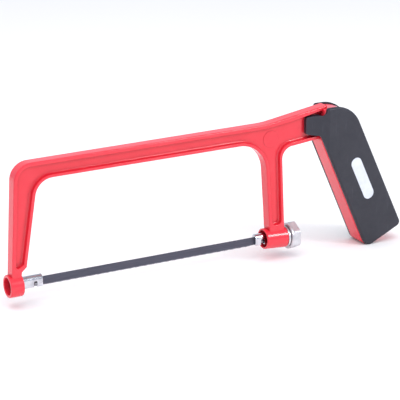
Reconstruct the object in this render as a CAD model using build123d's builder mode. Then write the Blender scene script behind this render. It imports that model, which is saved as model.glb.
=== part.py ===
from build123d import *
import math
import os

# Junior hacksaw: die-cast bow frame with a pistol grip, 150 mm pinned blade, screw tensioner.
# +X runs along the blade to the grip, +Z up, Y across; origin at the bottom centre of the box.
# Side views are drawn from the front blade pin: first number along +X, second up along +Z.

# ---- driving dimensions, millimetres ----
pin_spacing = 145.0              # centre to centre of the blade's two cross pins
front_pin_x = -112.217           # places the front pin so that the box is centred on X
axis_z = 12.334                  # height of the blade axis above the lowest point of the grip

flange_width = 7.5               # full width of the bow's flanges
web_thickness = 2.0
flange_edge = 0.8                # rounding of the flanges' outer edges
rim_edge = 0.4                   # rounding where the flanges turn down to the web
web_fillet = 1.1                 # rounding where the web meets the flanges
pad_centre = (150.8, 61.8)       # faint round casting pad on the web
pad_radius = 5.0
pad_height = 0.2

boss_edge = 0.6
mouth_edge = 0.35                # rounding of the bosses' open mouths
match = 0.01                     # tolerance for picking the mouths' edges
front_boss_start = -16.0
front_boss_end = -8.1
front_boss_z = 0.45              # height of the front boss's centre over the blade axis
front_boss_radius = 6.5
front_recess_radius = 4.9        # recess that takes the front holder's screw
front_recess_depth = 5.8
rear_boss_start = 146.8
rear_boss_end = 161.5
rear_mouth_z = 0.85              # the rear boss tapers from its mouth to its end
rear_mouth_radius = 6.2
rear_end_z = 0.1
rear_end_radius = 6.5
rear_recess_radius = 5.1         # mouth that the rear holder slides in
rear_recess_depth = 3.2

core_width = 13.0                # width of the grip's metal core between the covers
core_edge = 1.3
core_wall = 4.0
core_web = 5.0
cover_outer = 8.6                # outer face of each cover, from the middle plane
cover_edge = 1.4
cover_wall = 2.6
cover_hollow = 0.8               # depth of the hollow on the inside of each cover
hollow_start = 188.0
cover_boss_radius = 4.0
cover_boss_gap = 0.1             # between a cover's screw boss and the core's web
cover_boss_root = 0.5            # how far a screw boss runs into the cover's wall
nose_start = 173.6               # the covers' noses slope from the flange out to the main face
nose_slope_end = 187.0
nose_end = 182.7                 # where a nose's inner part stops, short of the core
nose_front_height = 3.6
nose_floor_gap = 0.15

screw_radius = 1.5
screw_clearance = 0.3
screw_tip = 6.8                  # how far the grip screws reach past the middle plane
screw_head_radius = 2.8
screw_head_height = 1.9
screw_head_edge = 0.7
cross_length = 3.2               # cross recess in the screw heads
cross_width = 0.7
cross_depth = 1.0
counterbore_radius = 3.1
counterbore_depth = 3.0
insert_radius = 2.1
insert_length = 4.6
thread_play = 0.05

plate_length = 29.0              # plain plate let into the left cover
plate_width = 7.3
plate_thickness = 0.7
plate_corner = 3.5
plate_play = 0.06

holder_width = 5.0               # both blade holders: upright bar with a half-round top
holder_round_z = 2.05            # centre of the half-round top
holder_bottom = -1.9
holder_corner = 0.5
holder_play = 0.06
holder_edge = 0.25
front_holder_start = -10.1
front_holder_tip = 4.3
rear_holder_tip = 140.6
rear_bar_end = 157.0
slit_width = 0.95
slit_top = 2.95
slit_past_blade = 0.8
notch_width = 1.9
notch_top = 1.5
notch_play = 0.05
notch_corner = 0.6
slack_travel = 0.8               # how far the rear holder moves to free the blade
cut_past = 1.0                   # how far a cutting solid runs past what it cuts
dimple_place = (2.8, 0.8)
dimple_radius = 0.8
dimple_depth = 0.12

front_screw_radius = 1.5
front_screw_length = 6.2
front_head_radius = 2.9
front_head_height = 1.5
front_washer_radius = 3.5
front_washer_thickness = 0.5
lock_washer_radius = 2.75
lock_washer_thickness = 0.6
lock_washer_split = 0.6

blade_height = 5.2
blade_back = 2.9                 # height of the blade's back over its pins
blade_thickness = 0.65
blade_past_pin = 1.6             # short enough to pass the rear boss on its way out
blade_plain_end = 7.0            # untoothed length past each pin
tooth_pitch = 0.8                # 32 teeth to the inch
tooth_depth = 0.45
tooth_rake = 0.06
pin_radius = 0.75
pin_length = 4.8
pin_edge = 0.15

stud_radius = 2.5                # M5 stud on the rear holder
stud_end = 168.9
thread_pitch = 0.8
thread_depth = 0.35
washer_thickness = 1.2
washer_radius = 6.4
washer_bore = 2.8
seat_gap = 0.05
knob_start = 163.15
knob_length = 6.1
knob_collar_radius = 7.8
knob_collar_length = 1.2
knob_corner_radius = 8.5
knob_corner_rounding = 1.8
knob_edge = 0.5
bush_radius = 4.0                # threaded steel bush pressed into the knob
knob_recess_radius = 5.0         # shallow recess round the bush at the back of the knob
knob_recess_depth = 0.6

grip_tilt = math.degrees(math.atan2(29.2, 62.0))   # lean of the grip from the vertical

# The side plane looks along +Y from the left: local x is +X, local y is +Z.
side = Plane(origin=(front_pin_x, 0, axis_z), x_dir=(1, 0, 0), z_dir=(0, -1, 0))


def across(x):
    """Plane square to the blade axis at distance x behind the front pin, facing +X."""
    return Plane(origin=(front_pin_x + x, 0, axis_z), x_dir=(0, 1, 0), z_dir=(1, 0, 0))


def side_at(y):
    """Side plane moved to the given Y, still facing -Y."""
    return Plane(origin=(front_pin_x, y, axis_z), x_dir=(1, 0, 0), z_dir=(0, -1, 0))


def outline(points):
    """Face from corner points (x, z, corner radius), in the side plane's axes."""
    corners = [(x, z) for x, z, radius in points]
    radii = [radius for x, z, radius in points]
    with BuildSketch() as drawing:
        with BuildLine():
            FilletPolyline(*corners, radius=radii, close=True)
        make_face()
    return drawing.sketch


# ---- outlines: (x, z, corner radius) ----
bow_points = [
    (-14.5, 3.0, 0.5), (-10.8, 69.6, 10.5), (147.0, 71.6, 60.0), (188.0, 78.2, 0.5),
    (188.0, 58.9, 0.5), (157.3, 55.6, 7.0), (159.9, 3.0, 0.5), (149.8, 3.0, 0.5),
    (145.6, 61.0, 18.0), (2.5, 59.6, 10.5), (-5.4, 11.0, 0.8), (-8.3, 8.4, 0.5), (-9.0, 3.0, 0.3),
]
web_points = [
    (-12.0, 9.9, 1.4), (-8.7, 67.5, 8.2), (147.0, 69.1, 40.0), (163.0, 71.2, 30.0),
    (186.0, 75.6, 2.0), (186.0, 60.8, 2.0), (155.5, 57.6, 8.0), (157.6, 9.4, 2.4),
    (151.4, 9.4, 2.4), (147.2, 62.8, 19.8), (0.7, 61.3, 12.2), (-7.1, 12.6, 1.4),
]
core_points = [
    (184.6, 74.0, 0.8), (184.6, 76.4, 0.8), (202.8, 76.4, 18.5), (240.65, -2.05, 2.5),
    (215.45, -13.75, 4.5), (182.9, 57.8, 1.5),
]
cover_points = [
    (177.0, 73.0, 1.6), (185.3, 73.0, 2.6), (185.3, 77.3, 1.5), (203.3, 77.3, 19.0),
    (241.45, -2.35, 3.0), (216.05, -14.15, 5.5), (181.8, 60.5, 2.0), (177.0, 61.4, 1.6),
]
nose_points = [
    (nose_start, 72.2, 0.9), (177.5, 72.9, 8.0), (nose_end, 72.9, 0.2), (nose_end, 60.7, 0.2),
    (nose_start, 62.1, 1.6),
]

# Places down the middle of the grip, measured from its upper end.
grip_axis_top = (193.4, 66.0)
screw_places = (3.0, 34.0, 66.0)
plate_place = 39.2
plate_aside = 1.35               # from the grip's centre line towards its rear edge


def down_grip(distance, aside=0.0):
    """Point on or beside the grip's centre line, as (x, z) from the front pin."""
    lean = math.radians(grip_tilt)
    x0, z0 = grip_axis_top
    return (x0 + distance * math.sin(lean) + aside * math.cos(lean),
            z0 - distance * math.cos(lean) + aside * math.sin(lean))


screw_points = [down_grip(place) for place in screw_places]
plate_point = down_grip(plate_place, plate_aside)


def holder_section(play):
    """Section of a holder bar, grown by play all round (drawn on an across plane)."""
    half = holder_width / 2 + play
    bottom = holder_bottom - play
    with BuildSketch() as section:
        with Locations((0, (holder_round_z + bottom) / 2)):
            Rectangle(2 * half, holder_round_z - bottom)
        fillet(section.vertices().group_by(Axis.Y)[0], holder_corner)
        with Locations((0, holder_round_z)):
            Circle(half)
    return section.sketch


# ---- frame: bow, two bosses and the grip core, one casting ----
with BuildPart() as bow:
    with BuildSketch(side):
        add(outline(bow_points))
    extrude(amount=flange_width / 2, both=True)
    for direction in (1, -1):
        with BuildSketch(side.offset(direction * web_thickness / 2)):
            add(outline(web_points))
        extrude(amount=direction * flange_width / 2, mode=Mode.SUBTRACT)
    floors = bow.faces().filter_by(Axis.Y).filter_by(lambda face: abs(face.center().Y) < web_thickness)
    fillet(floors.edges(), web_fillet)
    for place in (0, -1):
        rim = bow.faces().filter_by(Axis.Y).sort_by(Axis.Y)[place]
        fillet(rim.inner_wires().edges(), rim_edge)
        rim = bow.faces().filter_by(Axis.Y).sort_by(Axis.Y)[place]
        fillet(rim.outer_wire().edges(), flange_edge)

with BuildPart() as core:
    with BuildSketch(side):
        add(outline(core_points))
    extrude(amount=core_width / 2, both=True)
    fillet(core.faces().filter_by(Axis.Y).edges(), core_edge)
    for direction in (1, -1):
        with BuildSketch(side.offset(direction * core_web / 2)):
            add(offset(outline(core_points), -core_wall, mode=Mode.PRIVATE))
        extrude(amount=direction * core_width / 2, mode=Mode.SUBTRACT)
    with BuildSketch(side):
        with Locations(*screw_points):
            Circle(screw_radius + screw_clearance)
    extrude(amount=core_width, both=True, mode=Mode.SUBTRACT)

with BuildPart() as front_boss:
    with BuildSketch(across(front_boss_start)):
        with Locations((0, front_boss_z)):
            Circle(front_boss_radius)
    extrude(amount=front_boss_end - front_boss_start)
    fillet(front_boss.edges().filter_by(GeomType.CIRCLE), boss_edge)

with BuildPart() as rear_boss:
    with BuildSketch(across(rear_boss_start)):
        with Locations((0, rear_mouth_z)):
            Circle(rear_mouth_radius)
    with BuildSketch(across(rear_boss_end)):
        with Locations((0, rear_end_z)):
            Circle(rear_end_radius)
    loft()
    fillet(rear_boss.faces().filter_by(Axis.X).edges(), boss_edge)

with BuildPart() as frame:
    add(bow.part)
    add(core.part)
    add(front_boss.part)
    add(rear_boss.part)
    for direction in (1, -1):
        with BuildSketch(side.offset(direction * web_thickness / 2)):
            with Locations(pad_centre):
                Circle(pad_radius)
        extrude(amount=direction * pad_height)
    with BuildSketch(across(front_boss_start)):
        with Locations((0, front_boss_z)):
            Circle(front_recess_radius)
    extrude(amount=front_recess_depth, mode=Mode.SUBTRACT)
    with BuildSketch(across(rear_boss_start)):
        with Locations((0, rear_mouth_z)):
            Circle(rear_recess_radius)
    extrude(amount=rear_recess_depth, mode=Mode.SUBTRACT)
    for start, end in ((front_boss_start, front_boss_end), (rear_boss_start, rear_boss_end)):
        with BuildSketch(across(start - cut_past)):
            add(holder_section(holder_play))
        extrude(amount=end - start + 2 * cut_past, mode=Mode.SUBTRACT)
    with BuildSketch(across(rear_boss_start)):
        Circle(washer_bore)
    extrude(amount=rear_boss_end - rear_boss_start, mode=Mode.SUBTRACT)
    for start, radius in (
        (front_boss_start, front_recess_radius), (rear_boss_start, rear_recess_radius),
    ):
        mouth_x = front_pin_x + start
        mouths = frame.edges().filter_by(GeomType.CIRCLE).filter_by(
            lambda edge: abs(edge.radius - radius) < match and abs(edge.center().X - mouth_x) < match
        )
        fillet(mouths, mouth_edge)
frame.part.label = "frame"


# ---- grip covers: one moulding each side, screwed through the core ----
def cover_body(side_sign):
    """Cover on one side: side_sign is +1 for the left (-Y) side and -1 for the right."""
    inner_face = core_width / 2
    boss_face = core_web / 2 + cover_boss_gap
    nose_face = web_thickness / 2 + nose_floor_gap
    with BuildPart() as body:
        with BuildSketch(side.offset(side_sign * inner_face)):
            add(outline(cover_points))
        extrude(amount=side_sign * (cover_outer - inner_face))
        outer_face = body.faces().filter_by(Axis.Y).sort_by(Axis.Y)[0 if side_sign > 0 else -1]
        fillet(outer_face.edges(), cover_edge)
        with BuildSketch(side.offset(side_sign * inner_face)):
            add(offset(outline(cover_points), -cover_wall, mode=Mode.PRIVATE))
            with Locations((0, 0)):
                Rectangle(2 * hollow_start, 4 * hollow_start, mode=Mode.SUBTRACT)
        extrude(amount=side_sign * cover_hollow, mode=Mode.SUBTRACT)
        with BuildSketch(side.offset(side_sign * boss_face)):
            with Locations(*screw_points):
                Circle(cover_boss_radius)
        extrude(amount=side_sign * (inner_face + cover_hollow + cover_boss_root - boss_face))
        with BuildSketch(side.offset(side_sign * nose_face)):
            add(outline(nose_points))
        extrude(amount=side_sign * (cover_outer - nose_face))
        with BuildSketch(Plane.XY.offset(axis_z)):
            with BuildLine():
                start = (front_pin_x + nose_start, -side_sign * nose_front_height)
                end = (front_pin_x + nose_slope_end, -side_sign * cover_outer)
                corner = (front_pin_x + nose_start, -side_sign * cover_outer)
                Polyline(start, end, corner, close=True)
            make_face()
        extrude(amount=2 * nose_end, mode=Mode.SUBTRACT)
    return body.part


with BuildPart() as grip_cover_left:
    add(cover_body(1))
    with BuildSketch(side.offset(core_web / 2)):
        with Locations(*screw_points):
            Circle(insert_radius)
    extrude(amount=insert_length + 2 * cover_boss_gap, mode=Mode.SUBTRACT)
    with BuildSketch(side.offset(cover_outer)):
        with Locations(plate_point):
            RectangleRounded(plate_width + 2 * plate_play, plate_length + 2 * plate_play,
                             plate_corner + plate_play, rotation=grip_tilt)
    extrude(amount=-plate_thickness, mode=Mode.SUBTRACT)
grip_cover_left.part.label = "grip_cover_left"

with BuildPart() as grip_cover_right:
    add(cover_body(-1))
    with BuildSketch(side_at(cover_outer)):
        with Locations(*screw_points):
            Circle(screw_radius + screw_clearance)
    extrude(amount=cover_outer, mode=Mode.SUBTRACT)
    with BuildSketch(side_at(cover_outer)):
        with Locations(*screw_points):
            Circle(counterbore_radius)
    extrude(amount=counterbore_depth, mode=Mode.SUBTRACT)
grip_cover_right.part.label = "grip_cover_right"

with BuildPart() as grip_plate:
    with BuildSketch(side.offset(cover_outer - plate_thickness)):
        with Locations(plate_point):
            RectangleRounded(plate_width, plate_length, plate_corner, rotation=grip_tilt)
    extrude(amount=plate_thickness)
grip_plate.part.label = "grip_plate"

# Three pan-head screws enter from the right and end in brass inserts in the left cover.
head_seat = cover_outer - counterbore_depth

with BuildPart() as grip_screws:
    with BuildSketch(side_at(head_seat)):
        with Locations(*screw_points):
            Circle(screw_radius)
    extrude(amount=head_seat + screw_tip)
    with BuildSketch(side_at(head_seat)):
        with Locations(*screw_points):
            Circle(screw_head_radius)
    extrude(amount=-screw_head_height)
    tops = grip_screws.faces().filter_by(Axis.Y).group_by(Axis.Y)[-1]
    fillet(tops.edges(), screw_head_edge)
    with BuildSketch(side_at(head_seat + screw_head_height)):
        with Locations(*screw_points):
            Rectangle(cross_length, cross_width)
            Rectangle(cross_width, cross_length)
    extrude(amount=cross_depth, mode=Mode.SUBTRACT)
grip_screws.part.label = "grip_screws"

with BuildPart() as grip_screw_inserts:
    with BuildSketch(side.offset(core_web / 2 + cover_boss_gap)):
        with Locations(*screw_points):
            Circle(insert_radius)
            Circle(screw_radius + thread_play, mode=Mode.SUBTRACT)
    extrude(amount=insert_length)
grip_screw_inserts.part.label = "grip_screw_inserts"


# ---- blade and its two cross pins ----
def blade_outline():
    """Blade seen from the side: square ends, plain back, teeth pointing forward below."""
    tips = blade_back - blade_height
    gullet = tips + tooth_depth
    left = -blade_past_pin
    right = pin_spacing + blade_past_pin
    points = [(left, gullet), (left, blade_back), (right, blade_back), (right, gullet)]
    count = int((pin_spacing - 2 * blade_plain_end) / tooth_pitch)
    last = blade_plain_end + count * tooth_pitch
    for number in range(count):
        x = last - number * tooth_pitch
        points += [(x, gullet), (x - tooth_pitch + tooth_rake, tips)]
    points.append((last - count * tooth_pitch, gullet))
    with BuildSketch() as drawing:
        with BuildLine():
            Polyline(*points, close=True)
        make_face()
    return drawing.sketch


with BuildPart() as blade:
    with BuildSketch(side):
        add(blade_outline())
        with Locations((0, 0), (pin_spacing, 0)):
            Circle(pin_radius, mode=Mode.SUBTRACT)
    extrude(amount=blade_thickness / 2, both=True)
blade.part.label = "blade"

with BuildPart() as blade_pin_front:
    with BuildSketch(side):
        Circle(pin_radius)
    extrude(amount=pin_length / 2, both=True)
    chamfer(blade_pin_front.edges().filter_by(GeomType.CIRCLE), pin_edge)
blade_pin_front.part.label = "blade_pin_front"

with BuildPart() as blade_pin_rear:
    with BuildSketch(side):
        with Locations((pin_spacing, 0)):
            Circle(pin_radius)
    extrude(amount=pin_length / 2, both=True)
    chamfer(blade_pin_rear.edges().filter_by(GeomType.CIRCLE), pin_edge)
blade_pin_rear.part.label = "blade_pin_rear"


# ---- blade holders ----
def holder_cuts(slit_start, slit_end, notch_start, notch_end):
    """Solid of a holder's blade slit and pin notch, both open downwards."""
    below = 3 * holder_bottom
    with BuildPart() as cuts:
        with BuildSketch(side):
            with BuildLine():
                Polyline((slit_start, slit_top), (slit_end, slit_top), (slit_end, below),
                         (slit_start, below), close=True)
            make_face()
        extrude(amount=slit_width / 2, both=True)
        with BuildSketch(side):
            with BuildLine():
                FilletPolyline((notch_start, below), (notch_start, notch_top), (notch_end, notch_top),
                               (notch_end, below), radius=notch_corner, close=True)
            make_face()
        extrude(amount=holder_width, both=True)
    return cuts.part


with BuildPart() as front_blade_holder:
    with BuildSketch(across(front_holder_start)):
        add(holder_section(0))
    extrude(amount=front_holder_tip - front_holder_start)
    tip = front_blade_holder.faces().sort_by(Axis.X)[-1]
    chamfer(tip.edges(), holder_edge)
    wall = pin_radius + notch_play
    slit_start = -blade_past_pin - slit_past_blade
    cuts = holder_cuts(slit_start, front_holder_tip + cut_past, wall - notch_width, wall)
    add(cuts, mode=Mode.SUBTRACT)
    with BuildSketch(across(front_holder_start)):
        with Locations((0, front_boss_z)):
            Circle(front_screw_radius + thread_play)
    extrude(amount=front_screw_length, mode=Mode.SUBTRACT)
    with BuildSketch(side.offset(holder_width / 2)):
        with Locations(dimple_place):
            Circle(dimple_radius)
    extrude(amount=-dimple_depth, mode=Mode.SUBTRACT)
front_blade_holder.part.label = "front_blade_holder"

# Stack in the front recess: flat washer on the recess floor, lock washer, screw head.
recess_floor = front_boss_start + front_recess_depth
lock_washer_seat = recess_floor - front_washer_thickness
front_head_seat = lock_washer_seat - lock_washer_thickness

with BuildPart() as front_holder_washer:
    with BuildSketch(across(recess_floor)):
        with Locations((0, front_boss_z)):
            Circle(front_washer_radius)
            Circle(front_screw_radius + 2 * thread_play, mode=Mode.SUBTRACT)
    extrude(amount=-front_washer_thickness)
front_holder_washer.part.label = "front_holder_washer"

with BuildPart() as front_lock_washer:
    with BuildSketch(across(lock_washer_seat)):
        with Locations((0, front_boss_z)):
            Circle(lock_washer_radius)
            Circle(front_screw_radius + 2 * thread_play, mode=Mode.SUBTRACT)
        with Locations((0, front_boss_z + lock_washer_radius)):
            Rectangle(lock_washer_split, 2 * lock_washer_radius, mode=Mode.SUBTRACT)
    extrude(amount=-lock_washer_thickness)
front_lock_washer.part.label = "front_lock_washer"

with BuildPart() as front_holder_screw:
    with BuildSketch(across(front_head_seat)):
        with Locations((0, front_boss_z)):
            Circle(front_screw_radius)
    extrude(amount=front_screw_length)
    with BuildSketch(across(front_head_seat)):
        with Locations((0, front_boss_z)):
            Circle(front_head_radius)
    extrude(amount=-front_head_height)
    top = front_holder_screw.faces().sort_by(Axis.X)[0]
    fillet(top.edges(), screw_head_edge)
    with BuildSketch(across(front_head_seat - front_head_height)):
        with Locations((0, front_boss_z)):
            Rectangle(cross_length, cross_width)
            Rectangle(cross_width, cross_length)
    extrude(amount=cross_depth, mode=Mode.SUBTRACT)
front_holder_screw.part.label = "front_holder_screw"

with BuildPart() as rear_blade_holder:
    with BuildSketch(across(rear_holder_tip)):
        add(holder_section(0))
    extrude(amount=rear_bar_end - rear_holder_tip)
    tip = rear_blade_holder.faces().sort_by(Axis.X)[0]
    chamfer(tip.edges(), holder_edge)
    wall = pin_spacing - pin_radius - notch_play
    slit_end = pin_spacing + blade_past_pin + slack_travel + slit_past_blade
    notch_end = pin_spacing + pin_radius + slack_travel + 3 * notch_play
    cuts = holder_cuts(rear_holder_tip - cut_past, slit_end, wall, notch_end)
    add(cuts, mode=Mode.SUBTRACT)
    with BuildSketch(across(rear_bar_end)):
        Circle(stud_radius)
    extrude(amount=stud_end - rear_bar_end)
    end = rear_blade_holder.faces().sort_by(Axis.X)[-1]
    chamfer(end.edges(), thread_depth)
    grooves = int((stud_end - rear_bar_end) / thread_pitch) - 1
    for number in range(1, grooves):
        with BuildSketch(across(rear_bar_end + number * thread_pitch)):
            Circle(stud_radius + cut_past)
            Circle(stud_radius - thread_depth, mode=Mode.SUBTRACT)
        extrude(amount=thread_pitch / 2, mode=Mode.SUBTRACT)
rear_blade_holder.part.label = "rear_blade_holder"

# ---- tensioner: thrust washer, hexagonal knob with a threaded bush ----
with BuildPart() as thrust_washer:
    with BuildSketch(across(rear_boss_end + seat_gap)):
        Circle(washer_radius)
        Circle(washer_bore, mode=Mode.SUBTRACT)
    extrude(amount=washer_thickness)
thrust_washer.part.label = "thrust_washer"

with BuildPart() as tension_knob:
    with BuildSketch(across(knob_start)) as knob_section:
        RegularPolygon(knob_corner_radius, 6, rotation=30)
        fillet(knob_section.vertices(), knob_corner_rounding)
    extrude(amount=knob_length)
    chamfer(tension_knob.faces().sort_by(Axis.X)[-1].edges(), knob_edge)
    knob_end = knob_start + knob_length
    with BuildSketch(side):
        with BuildLine():
            Polyline((knob_start, 0), (knob_start, knob_collar_radius),
                     (knob_start + knob_collar_length, knob_collar_radius),
                     (knob_start + 2 * knob_collar_length, knob_corner_radius),
                     (knob_end, knob_corner_radius), (knob_end, 0), close=True)
        make_face()
    revolve(axis=Axis((0, 0, axis_z), (1, 0, 0)), mode=Mode.INTERSECT)
    with BuildSketch(across(knob_start)):
        Circle(knob_collar_radius)
    extrude(amount=knob_collar_length)
    chamfer(tension_knob.faces().sort_by(Axis.X)[0].edges(), knob_edge / 2)
    with BuildSketch(across(knob_start)):
        Circle(bush_radius)
    extrude(amount=knob_length, mode=Mode.SUBTRACT)
    with BuildSketch(across(knob_end)):
        Circle(knob_recess_radius)
    extrude(amount=-knob_recess_depth, mode=Mode.SUBTRACT)
tension_knob.part.label = "tension_knob"

bush_start = rear_boss_end + washer_thickness + 2 * seat_gap

with BuildPart() as knob_bush:
    with BuildSketch(across(bush_start)):
        Circle(bush_radius)
        Circle(stud_radius + thread_play, mode=Mode.SUBTRACT)
    extrude(amount=knob_end - knob_recess_depth / 2 - bush_start)
knob_bush.part.label = "knob_bush"

# ---- export: one STEP file for each piece ----
pieces = [
    frame, grip_cover_left, grip_cover_right, grip_plate, grip_screws, grip_screw_inserts,
    blade, blade_pin_front, blade_pin_rear, front_blade_holder, front_holder_washer,
    front_lock_washer, front_holder_screw, rear_blade_holder, thrust_washer, tension_knob,
    knob_bush,
]
os.makedirs("parts", exist_ok=True)
for piece in pieces:
    export_step(piece.part, f"parts/{piece.part.label}.step")
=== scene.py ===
import math

import bpy
from mathutils import Matrix, Vector


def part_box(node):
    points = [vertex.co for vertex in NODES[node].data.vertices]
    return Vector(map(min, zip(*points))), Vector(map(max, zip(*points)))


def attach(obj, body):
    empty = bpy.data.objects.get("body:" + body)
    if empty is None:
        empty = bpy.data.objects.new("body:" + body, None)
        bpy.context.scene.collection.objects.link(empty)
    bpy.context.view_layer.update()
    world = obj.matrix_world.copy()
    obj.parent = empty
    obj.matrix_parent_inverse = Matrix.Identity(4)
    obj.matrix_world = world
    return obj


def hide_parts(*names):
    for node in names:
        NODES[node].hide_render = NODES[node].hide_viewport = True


# Junior hacksaw: the CAD nodes with procedural materials, and a blade with wavy-set teeth.
# Lengths are in metres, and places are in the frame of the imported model.

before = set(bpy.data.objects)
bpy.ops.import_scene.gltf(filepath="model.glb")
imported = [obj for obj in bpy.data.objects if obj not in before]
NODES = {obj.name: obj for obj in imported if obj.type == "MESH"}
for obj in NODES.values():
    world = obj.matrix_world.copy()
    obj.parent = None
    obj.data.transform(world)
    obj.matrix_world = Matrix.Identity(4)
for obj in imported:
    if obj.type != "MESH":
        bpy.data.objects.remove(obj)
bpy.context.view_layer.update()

# Blade: its teeth lean from side to side in waves that fade out towards both plain ends.
TOOTH_PITCH = 0.0008
TOOTH_DEPTH = 0.00045
TOOTH_OUTLINE = ((0.0375, 0.5), (0.075, 0.0), (0.5, 0.5), (0.98, 1.0))  # shares of pitch and depth
PLAIN_END = 0.007               # from each pin to its nearest tooth, within half a pitch
SET_HEIGHT = 0.0016             # the part of the blade that leans, from the tooth tips up
SET_LEVELS = (0.0, 0.3, 0.62, 1.0)  # rows of points in that part, as shares of its height
SET_BEND = 1.4                  # over 1, so that the lean grows faster towards the tips
SET_SWING = 0.00016             # furthest lean to each side
SET_WAVE = 0.0048
SET_FADE = 0.003
BACK_CHAMFER = 0.00012
TIP_THINNING = 0.00004
END_STEP = 0.0002               # from each end to the next column of points

# Blade coating: bare steel below the first height over the tooth tips, whole above the second.
COAT_CUT = 0.0005
COAT_WHOLE = 0.0009
COAT_RAGGEDNESS = 0.0004

# Camera: at the photo's viewing angle, far off with a long lens.
CAMERA_PLACE = Vector((-0.43261, -0.76619, 0.32346))
CAMERA_HEADING = math.radians(29.0)     # turned from +Y towards +X
CAMERA_DIP = math.radians(17.7)         # below the horizontal
CAMERA_LENS = 144.0                     # millimetres
CAMERA_SENSOR = 36.0                    # millimetres
CAMERA_NEAR = 0.05

FLOOR_REACH = 6.0

# Sockets of the colour Mix node, whose names repeat.
MIX_FIRST, MIX_SECOND = 6, 7
MIX_RESULT = 2


def middle(node):
    """Middle of a CAD node's box."""
    lowest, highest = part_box(node)
    return (lowest + highest) / 2


PIN_FRONT = middle("blade_pin_front")
PIN_REAR = middle("blade_pin_rear")
BLADE_LOW, BLADE_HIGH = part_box("blade")
TEETH_FRONT = PIN_FRONT.x + PLAIN_END
TEETH_REAR = PIN_REAR.x - PLAIN_END


def link(name, data):
    """New object with this data, in the scene."""
    thing = bpy.data.objects.new(name, data)
    bpy.context.scene.collection.objects.link(thing)
    return thing


def fill_ramp(ramp, stops):
    """Gives a colour ramp its (position, colour) stops, lowest first."""
    for number, (position, color) in enumerate(stops):
        element = ramp.elements[number] if number < 2 else ramp.elements.new(position)
        element.position = position
        element.color = (*color, 1)


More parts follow.
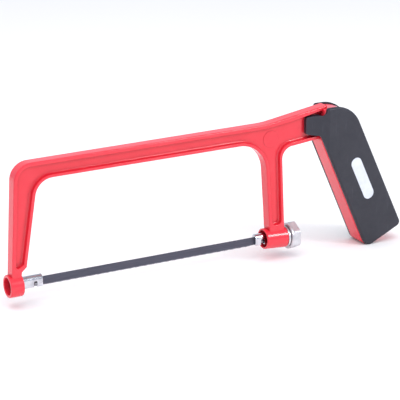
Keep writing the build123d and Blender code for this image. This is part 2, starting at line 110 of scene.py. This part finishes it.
# ---- materials ----
class Finish:
    """One procedural material, built node by node round its Principled shader.

    The values given first are the shader's plain ones. A pattern that is linked to a socket
    with drive() takes over from the plain value."""

    def __init__(self, name, color, metallic=0.0, roughness=0.4, **sockets):
        self.material = bpy.data.materials.new(name)
        self.material.use_nodes = True
        self.nodes = self.material.node_tree.nodes
        self.links = self.material.node_tree.links
        self.shader = self.nodes["Principled BSDF"]
        self.place = self.nodes.new("ShaderNodeTexCoord").outputs["Object"]
        self.put("Base Color", (*color, 1))
        self.put("Metallic", metallic)
        self.put("Roughness", roughness)
        for socket, value in sockets.items():
            self.put(socket.replace("_", " "), value)

    def put(self, socket, value):
        """Sets one of the shader's plain values."""
        self.shader.inputs[socket].default_value = value

    def drive(self, socket, value):
        """Links a pattern to one of the shader's sockets."""
        self.links.new(value, self.shader.inputs[socket])

    def on(self, *names):
        """Puts the material on these CAD nodes."""
        for name in names:
            mesh = NODES[name].data
            mesh.materials.clear()
            mesh.materials.append(self.material)

    def math(self, operation, a, b=0.0):
        """Math node on two values, each a number or a pattern."""
        node = self.nodes.new("ShaderNodeMath")
        node.operation = operation
        for socket, value in zip(node.inputs, (a, b)):
            if isinstance(value, (int, float)):
                socket.default_value = value
            else:
                self.links.new(value, socket)
        return node.outputs[0]

    def axes(self):
        """The place's X, Y and Z as three values."""
        node = self.nodes.new("ShaderNodeSeparateXYZ")
        self.links.new(self.place, node.inputs[0])
        return node.outputs[0], node.outputs[1], node.outputs[2]

    def cloud(self, vector, detail, rough):
        """Noise texture read at a vector."""
        node = self.nodes.new("ShaderNodeTexNoise")
        node.inputs["Scale"].default_value = 1.0
        node.inputs["Detail"].default_value = detail
        node.inputs["Roughness"].default_value = rough
        self.links.new(vector, node.inputs["Vector"])
        return node.outputs["Fac"]

    def noise(self, size, stretch=(1, 1, 1), detail=3.0, rough=0.55, seed=0.0):
        """Cloudy pattern with blobs about this many metres across, drawn out by stretch."""
        mapping = self.nodes.new("ShaderNodeMapping")
        mapping.inputs["Scale"].default_value = [1 / (size * factor) for factor in stretch]
        mapping.inputs["Location"].default_value = (seed, 2.3 * seed, 3.1 * seed)
        self.links.new(self.place, mapping.inputs[0])
        return self.cloud(mapping.outputs[0], detail, rough)

    def rings(self, size):
        """Fine rings round the blade axis, as a lathe leaves them."""
        x, y, z = self.axes()
        lift = self.math("SUBTRACT", z, PIN_FRONT.z)
        squares = self.math("ADD", self.math("MULTIPLY", y, y), self.math("MULTIPLY", lift, lift))
        joined = self.nodes.new("ShaderNodeCombineXYZ")
        self.links.new(self.math("DIVIDE", x, size), joined.inputs[0])
        self.links.new(self.math("DIVIDE", self.math("SQRT", squares), size), joined.inputs[1])
        return self.cloud(joined.outputs[0], detail=2.0, rough=0.5)

    def spread(self, value, low, high, start=0.35, end=0.65):
        """Value rescaled from start..end to low..high, and kept between them."""
        node = self.nodes.new("ShaderNodeMapRange")
        limits = {"From Min": start, "From Max": end, "To Min": low, "To Max": high}
        for socket, number in limits.items():
            node.inputs[socket].default_value = number
        self.links.new(value, node.inputs["Value"])
        return node.outputs["Result"]

    def colors(self, value, *stops):
        """Colour ramp with (position, colour) stops."""
        node = self.nodes.new("ShaderNodeValToRGB")
        fill_ramp(node.color_ramp, stops)
        self.links.new(value, node.inputs[0])
        return node.outputs[0]

    def blend(self, factor, first, second):
        """The first colour where the factor is 0, and the plain second one where it is 1."""
        node = self.nodes.new("ShaderNodeMix")
        node.data_type = "RGBA"
        self.links.new(factor, node.inputs["Factor"])
        self.links.new(first, node.inputs[MIX_FIRST])
        node.inputs[MIX_SECOND].default_value = (*second, 1)
        return node.outputs[MIX_RESULT]

    def edges(self, radius):
        """1 within radius of a sharp edge, 0 elsewhere."""
        bevel = self.nodes.new("ShaderNodeBevel")
        bevel.samples = 4
        bevel.inputs["Radius"].default_value = radius
        facing = self.nodes.new("ShaderNodeNewGeometry").outputs["Normal"]
        likeness = self.nodes.new("ShaderNodeVectorMath")
        likeness.operation = "DOT_PRODUCT"
        self.links.new(bevel.outputs[0], likeness.inputs[0])
        self.links.new(facing, likeness.inputs[1])
        return self.spread(likeness.outputs["Value"], 1.0, 0.0, 0.90, 0.995)

    def hollows(self, reach):
        """1 in the open, towards 0 deep in holes and corners narrower than reach."""
        node = self.nodes.new("ShaderNodeAmbientOcclusion")
        node.samples = 6
        node.inputs["Distance"].default_value = reach
        return node.outputs["AO"]

    def relief(self, *layers):
        """Bump from (height, depth in metres) layers, the first one lowest."""
        normal = None
        for height, depth in layers:
            node = self.nodes.new("ShaderNodeBump")
            node.inputs["Distance"].default_value = depth
            self.links.new(height, node.inputs["Height"])
            if normal:
                self.links.new(normal, node.inputs["Normal"])
            normal = node.outputs[0]
        self.links.new(normal, self.shader.inputs["Normal"])


def red_coating():
    """Gloss coating on the die-cast bow, with painted shade darkening it in its corners."""
    paint = Finish("red_coating", (0.80, 0.035, 0.05), roughness=0.2, Coat_Weight=0.25, Coat_Roughness=0.05)
    tone = paint.noise(0.022, detail=4.0)
    coated = paint.colors(tone, (0.3, (0.78, 0.022, 0.043)), (0.7, (0.84, 0.031, 0.054)))
    # Painted shade: the coating's colour darkens to deep red where ambient occlusion finds corners and
    # recesses.
    corner_shade = paint.spread(paint.hollows(0.003), 0.8, 0.0, 0.35, 0.9)
    paint.drive("Base Color", paint.blend(corner_shade, coated, (0.42, 0.006, 0.014)))
    paint.drive("Roughness", paint.spread(paint.noise(0.004, seed=2.0), 0.17, 0.26))
    casting = paint.noise(0.007, detail=2.0)
    peel = paint.noise(0.0012, detail=2.0, seed=7.0)
    paint.relief((casting, 0.00006), (peel, 0.000006))
    return paint


def dark_moulding():
    """Fine-grained dark plastic with upright scuffs, rubbed at its edges."""
    grip = Finish("dark_moulding", (0.055, 0.055, 0.072), roughness=0.46)
    tone = grip.noise(0.03, detail=3.0, seed=1.0)
    clean = grip.colors(tone, (0.3, (0.017, 0.017, 0.027)), (0.7, (0.025, 0.025, 0.037)))
    scuffs = grip.spread(grip.noise(0.0009, stretch=(1, 1, 14), detail=4.0, seed=3.0), 0.0, 0.25, 0.62, 0.78)
    rubbed = grip.math("MAXIMUM", scuffs, grip.math("MULTIPLY", grip.edges(0.0005), 0.35))
    grip.drive("Base Color", grip.blend(rubbed, clean, (0.10, 0.10, 0.13)))
    grip.drive("Roughness", grip.spread(grip.noise(0.003, seed=5.0), 0.40, 0.54))
    grip.relief((grip.noise(0.00055, detail=3.0, rough=0.6, seed=6.0), 0.000045))
    return grip


def pale_plate():
    """Satin pale plate, faintly mottled."""
    plate = Finish("pale_plate", (0.80, 0.82, 0.88), roughness=0.38)
    mottle = plate.noise(0.004, detail=5.0)
    plate.drive("Base Color", plate.colors(mottle, (0.3, (0.66, 0.69, 0.77)), (0.7, (0.76, 0.79, 0.87))))
    plate.drive("Roughness", plate.spread(plate.noise(0.0008, stretch=(1, 1, 6)), 0.32, 0.48))
    plate.relief((plate.noise(0.0004, detail=3.0), 0.00002))
    return plate


def coated_blade():
    """Blue-black coating with grinding lines along the blade, cut through to steel at the teeth."""
    steel = Finish("coated_blade", (0.09, 0.09, 0.12), metallic=0.35, roughness=0.36)
    streak = steel.noise(0.00045, stretch=(34, 1, 1), detail=5.0, rough=0.65)
    coat = steel.colors(streak, (0.3, (0.050, 0.051, 0.074)), (0.7, (0.090, 0.091, 0.125)))
    height = steel.math("SUBTRACT", steel.axes()[2], BLADE_LOW.z)
    uneven = steel.math("MULTIPLY", steel.noise(0.0012, seed=3.0), COAT_RAGGEDNESS)
    bare = steel.spread(steel.math("ADD", height, uneven), 0.8, 0.0, COAT_CUT, COAT_WHOLE)
    steel.drive("Base Color", steel.blend(bare, coat, (0.34, 0.34, 0.38)))
    steel.drive("Roughness", steel.spread(streak, 0.28, 0.44))
    steel.relief((streak, 0.000012))
    return steel


def pale_floor():
    """Plain pale floor, very slightly uneven in tone."""
    ground = Finish("pale_floor", (0.90, 0.90, 0.90), roughness=0.85)
    tone = ground.colors(ground.noise(0.4), (0.3, (0.895, 0.895, 0.90)), (0.7, (0.905, 0.905, 0.905)))
    ground.drive("Base Color", tone)
    return ground


def metal(name, dark, light, roughness, depth, grain=None, ring_size=None, metallic=1.0):
    """Metal with a cloudy tone, painted shade darkening it in its hollows, and with marks of that depth.

    The marks are lathe rings of ring_size, or else a grain given as (size, stretch)."""
    made = Finish(name, light, metallic=metallic, roughness=sum(roughness) / 2)
    if ring_size:
        marks = made.rings(ring_size)
    else:
        size, stretch = grain
        marks = made.noise(size, stretch, detail=5.0, rough=0.65)
    tone = made.colors(made.noise(0.0035, detail=6.0, seed=2.0), (0.32, dark), (0.62, light))
    # Painted shade: the colour darkens to near black where ambient occlusion finds holes and corners.
    hollow_shade = made.spread(made.hollows(0.002), 0.85, 0.0, 0.15, 0.6)
    made.drive("Base Color", made.blend(hollow_shade, tone, (0.03, 0.03, 0.03)))
    made.drive("Roughness", made.spread(marks, roughness[0], roughness[1]))
    made.relief((marks, depth), (made.noise(0.0008, detail=4.0, seed=9.0), depth))
    return made


def plated_bar():
    """Bright plating, with a fine grain along X."""
    return metal("plated_bar", (0.48, 0.48, 0.52), (0.70, 0.71, 0.76), (0.08, 0.20), 0.000014,
                 grain=(0.00035, (26, 1, 1)))


def satin_knob():
    """Satin plating with lathe rings."""
    return metal("satin_knob", (0.56, 0.56, 0.59), (0.72, 0.72, 0.75), (0.34, 0.46), 0.000012,
                 ring_size=0.00035, metallic=0.6)


def zinc_steel():
    """Pale zinc plating with lathe rings."""
    return metal("zinc_steel", (0.70, 0.70, 0.73), (0.90, 0.90, 0.92), (0.30, 0.44), 0.000012,
                 ring_size=0.0003)


def pin_steel():
    """Dull grey steel, with a grain along Z."""
    return metal("pin_steel", (0.26, 0.26, 0.29), (0.46, 0.46, 0.50), (0.24, 0.38), 0.000010,
                 grain=(0.0004, (1, 1, 6)))


def darkened_steel():
    """Dark brownish steel with lathe rings."""
    return metal("darkened_steel", (0.16, 0.12, 0.12), (0.30, 0.26, 0.26), (0.30, 0.48), 0.000014,
                 ring_size=0.0003)


def turned_brass():
    """Brass, with a grain along Y."""
    return metal("turned_brass", (0.55, 0.36, 0.12), (0.80, 0.60, 0.28), (0.22, 0.36), 0.000012,
                 grain=(0.0005, (1, 6, 1)))


# ---- blade ----
def tooth_line():
    """Columns of points along the blade, as (x, height of the lower edge over the tooth tips)."""
    count = round((TEETH_REAR - TEETH_FRONT) / TOOTH_PITCH)
    columns = [(BLADE_LOW.x, TOOTH_DEPTH), (BLADE_LOW.x + END_STEP, TOOTH_DEPTH)]
    for number in range(count):
        start = TEETH_REAR - (count - number) * TOOTH_PITCH
        columns += [(start + along * TOOTH_PITCH, up * TOOTH_DEPTH) for along, up in TOOTH_OUTLINE]
    columns += [(BLADE_HIGH.x - END_STEP, TOOTH_DEPTH), (BLADE_HIGH.x, TOOTH_DEPTH)]
    return columns


def blade_column(x, lift):
    """Points of one column, from the lower edge up to the back, first on -Y and then on +Y."""
    fade = max(0.0, min(1.0, (x - TEETH_FRONT) / SET_FADE, (TEETH_REAR - x) / SET_FADE))
    lean = SET_SWING * fade * math.sin(2 * math.pi * (x - TEETH_FRONT) / SET_WAVE)
    points = []
    for side in (-1, 1):
        for share in SET_LEVELS:
            half = BLADE_HIGH.y - (TIP_THINNING if share == 0.0 else 0.0)
            z = BLADE_LOW.z + lift + share * (SET_HEIGHT - lift)
            points.append((x, side * half + lean * (1 - share) ** SET_BEND, z))
        points.append((x, side * BLADE_HIGH.y, BLADE_HIGH.z - BACK_CHAMFER))
        points.append((x, side * (BLADE_HIGH.y - BACK_CHAMFER), BLADE_HIGH.z))
    return points


def wavy_blade():
    """The blade's strip with its teeth set in waves from side to side."""
    columns = [blade_column(x, lift) for x, lift in tooth_line()]
    size = len(columns[0])
    loop = list(range(size // 2)) + list(range(size - 1, size // 2 - 1, -1))
    faces = []
    for number in range(len(columns) - 1):
        here, there = number * size, (number + 1) * size
        for a, b in zip(loop, loop[1:] + loop[:1]):
            faces.append((here + a, here + b, there + b, there + a))
    end = (len(columns) - 1) * size
    faces.append(tuple(reversed(loop)))
    faces.append(tuple(end + a for a in loop))
    mesh = bpy.data.meshes.new("blade_strip")
    mesh.from_pydata([point for column in columns for point in column], [], faces)
    mesh.materials.append(coated_blade().material)
    piece = link("blade_strip", mesh)
    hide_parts("blade")
    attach(piece, "blade")


# ---- floor, light and camera ----
def floor():
    """Plain pale floor under the saw."""
    reach = FLOOR_REACH
    mesh = bpy.data.meshes.new("floor")
    corners = [(-reach, -reach, 0), (reach, -reach, 0), (reach, reach, 0), (-reach, reach, 0)]
    mesh.from_pydata(corners, [], [(0, 1, 2, 3)])
    mesh.materials.append(pale_floor().material)
    link("floor", mesh)


def surround():
    """Studio surround: blue-grey at the horizon, lightest about 25 degrees up, darker overhead."""
    world = bpy.data.worlds.new("studio")
    bpy.context.scene.world = world
    world.use_nodes = True
    nodes, links = world.node_tree.nodes, world.node_tree.links
    direction = nodes.new("ShaderNodeTexCoord")
    split = nodes.new("ShaderNodeSeparateXYZ")
    ramp = nodes.new("ShaderNodeValToRGB")
    fill_ramp(ramp.color_ramp, (
        (0.0, (0.58, 0.64, 0.80)),
        (0.42, (0.80, 0.82, 0.90)),
        (0.85, (0.50, 0.51, 0.54)),
    ))
    links.new(direction.outputs["Generated"], split.inputs[0])
    links.new(split.outputs["Z"], ramp.inputs[0])
    links.new(ramp.outputs[0], nodes["Background"].inputs["Color"])
    nodes["Background"].inputs["Strength"].default_value = 1.0


def softbox(name, place, target, size, power, glossy=True):
    """Square area light at place, turned to target. Without glossy it shows in no reflection."""
    data = bpy.data.lights.new(name, "AREA")
    data.shape = "SQUARE"
    data.size = size
    data.energy = power
    lamp = link(name, data)
    lamp.location = place
    lamp.rotation_euler = (Vector(target) - Vector(place)).to_track_quat("-Z", "Y").to_euler()
    lamp.visible_glossy = glossy


def photo_camera():
    """Camera at the photo's viewing angle."""
    camera = link("camera", bpy.data.cameras.new("camera"))
    camera.data.sensor_width = CAMERA_SENSOR
    camera.data.lens = CAMERA_LENS
    camera.data.clip_start = CAMERA_NEAR
    turn = Matrix.Rotation(-CAMERA_HEADING, 4, "Z")
    tilt = Matrix.Rotation(math.pi / 2 - CAMERA_DIP, 4, "X")
    camera.matrix_world = Matrix.Translation(CAMERA_PLACE) @ turn @ tilt
    bpy.context.scene.camera = camera


red_coating().on("frame")
dark_moulding().on("grip_cover_left", "grip_cover_right")
pale_plate().on("grip_plate")
plated_bar().on("front_blade_holder", "rear_blade_holder")
satin_knob().on("tension_knob")
zinc_steel().on("thrust_washer", "knob_bush", "grip_screws")
pin_steel().on("blade_pin_front", "blade_pin_rear")
darkened_steel().on("front_holder_screw", "front_holder_washer", "front_lock_washer")
turned_brass().on("grip_screw_inserts")
wavy_blade()

floor()
surround()
softbox("overhead", (-0.3, -0.2, 1.6), (0, 0, 0), size=1.8, power=23.0, glossy=False)
softbox("key", (0.85, -1.15, 0.95), (0, 0, 0.05), size=0.45, power=9.0)
photo_camera()
bpy.context.scene.view_settings.view_transform = "Standard"
